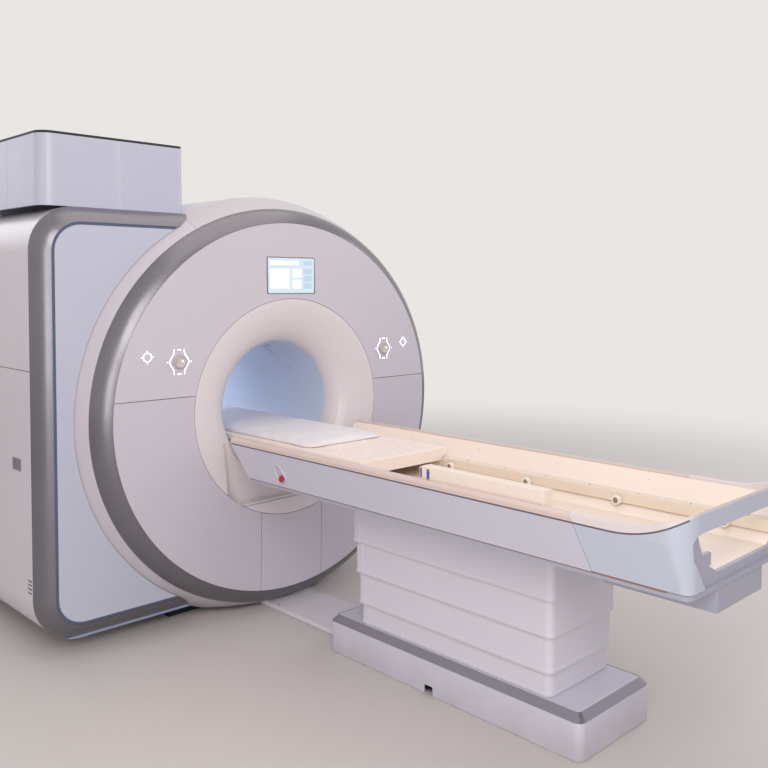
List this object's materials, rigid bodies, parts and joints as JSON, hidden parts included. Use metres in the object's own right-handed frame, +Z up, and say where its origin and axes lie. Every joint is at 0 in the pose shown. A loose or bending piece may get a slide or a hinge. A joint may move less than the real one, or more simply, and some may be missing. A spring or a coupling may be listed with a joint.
{
  "type": "mri scanner",
  "caption": "Whole-body magnetic resonance scanner with a round housing, a bell-mouthed bore, a service tower and a floor-standing patient table whose top slides into the bore.",
  "frame": {"origin": "on the floor under the middle of the magnet, at the centre of the four floor bolts of the magnet's feet", "axes": "+Z up, +Y along the bore from the patient end to the rear, the table reaches towards -Y, +X to the right seen from the table"},
  "size_m": [2.4379, 4.375, 2.48],
  "materials": {
    "foot_steel": "satin",
    "vessel_steel": "satin",
    "coil_resin": "satin",
    "liner": "satin",
    "rail_plastic": "satin",
    "funnel": "gloss",
    "housing_cover": "gloss",
    "grey_metallic": "gloss",
    "groove": "matt",
    "skirt": "matt",
    "seal": "matt",
    "display": "gloss",
    "knob": "gloss",
    "button": "gloss",
    "latch": "satin",
    "pedestal": "satin",
    "base_bevel": "satin",
    "column_steel": "satin",
    "trough": "satin",
    "rail_tan": "satin",
    "table_cover": "gloss",
    "rim": "satin",
    "roller": "satin",
    "tabletop": "satin",
    "mattress": "satin",
    "connector": "satin",
    "estop": "gloss",
    "duct": "satin"
  },
  "bodies": {
    "scanner": {"magnet_feet": "foot_steel", "magnet_vessel": "vessel_steel", "gradient_coil": "coil_resin", "bore_liner": "liner", "bore_rails": "rail_plastic", "front_funnel": "funnel", "funnel_insert": "funnel", "front_cover_upper": "housing_cover", "front_cover_left": "housing_cover", "front_cover_right": "housing_cover", "front_cover_lower": "housing_cover", "ring_trim": "grey_metallic", "drum_rim": "housing_cover", "crown_cover": "housing_cover", "rear_casing": "housing_cover", "left_casing_upper": "housing_cover", "left_casing_lower": "housing_cover", "body_panel": "housing_cover", "panel_band": "grey_metallic", "panel_groove": "groove", "skirt_strip": "skirt", "rear_cover": "housing_cover", "rear_funnel": "housing_cover", "tower_front_cover": "housing_cover", "tower_rear_cover": "housing_cover", "tower_seal": "seal", "service_turret": "vessel_steel", "vent_pipe": "vessel_steel", "display_screen": "display", "side_latch": "latch", "table_base_plate": "foot_steel", "table_base_cover": "pedestal", "table_base_bevel": "base_bevel", "lift_column": "column_steel", "lift_cover_1": "pedestal", "lift_cover_2": "pedestal", "lift_cover_3": "pedestal", "lift_cover_4": "pedestal", "table_frame": "trough", "roller_rails": "rail_tan", "side_covers": "table_cover", "rim_caps": "rim", "foot_cover": "table_cover", "hoop_handle": "rim", "under_tray": "table_cover", "under_box": "table_cover", "connector_bar": "connector", "floor_duct": "duct"},
    "patient_table_top": {"tabletop": "tabletop", "mattress": "mattress"},
    "control_knob_left": {"control_knob_left": "knob"},
    "control_knob_right": {"control_knob_right": "knob"},
    "call_button_left": {"call_button_left": "button"},
    "call_button_right": {"call_button_right": "button"},
    "estop_left": {"estop_left": "estop"},
    "estop_right": {"estop_right": "estop"},
    "roller_pair_1": {"roller_pair_1": "roller"},
    "roller_pair_2": {"roller_pair_2": "roller"},
    "roller_pair_3": {"roller_pair_3": "roller"},
    "roller_pair_4": {"roller_pair_4": "roller"}
  },
  "joints": [
    {"name": "tabletop_slide", "type": "slide", "parent": "scanner", "child": "patient_table_top", "axis": [0, 1, 0], "range_m": [-1.5, 0.3]},
    {"name": "knob_turn_left", "type": "hinge", "parent": "scanner", "child": "control_knob_left", "pos_m": [-0.666, -0.86, 1.382], "axis": [0, 1, 0], "continuous": true},
    {"name": "knob_turn_right", "type": "hinge", "parent": "scanner", "child": "control_knob_right", "pos_m": [0.666, -0.86, 1.382], "axis": [0, 1, 0], "continuous": true},
    {"name": "call_press_left", "type": "slide", "parent": "scanner", "child": "call_button_left", "axis": [0, 1, 0], "range_m": [0, 0.003], "stiffness_N_per_m": 600, "springref_m": -0.001},
    {"name": "call_press_right", "type": "slide", "parent": "scanner", "child": "call_button_right", "axis": [0, 1, 0], "range_m": [0, 0.003], "stiffness_N_per_m": 600, "springref_m": -0.001},
    {"name": "estop_press_left", "type": "slide", "parent": "scanner", "child": "estop_left", "axis": [1, 0, 0], "range_m": [0, 0.004], "stiffness_N_per_m": 1500, "springref_m": -0.001},
    {"name": "estop_press_right", "type": "slide", "parent": "scanner", "child": "estop_right", "axis": [-1, 0, 0], "range_m": [0, 0.004], "stiffness_N_per_m": 1500, "springref_m": -0.001},
    {"name": "roller_spin_1", "type": "hinge", "parent": "scanner", "child": "roller_pair_1", "pos_m": [0, -1.86199, 0.8747], "axis": [1, 0, 0], "continuous": true},
    {"name": "roller_spin_2", "type": "hinge", "parent": "scanner", "child": "roller_pair_2", "pos_m": [0, -2.34497, 0.8747], "axis": [1, 0, 0], "continuous": true},
    {"name": "roller_spin_3", "type": "hinge", "parent": "scanner", "child": "roller_pair_3", "pos_m": [0, -2.82795, 0.8747], "axis": [1, 0, 0], "continuous": true},
    {"name": "roller_spin_4", "type": "hinge", "parent": "scanner", "child": "roller_pair_4", "pos_m": [0, -3.31092, 0.8747], "axis": [1, 0, 0], "continuous": true}
  ]
}
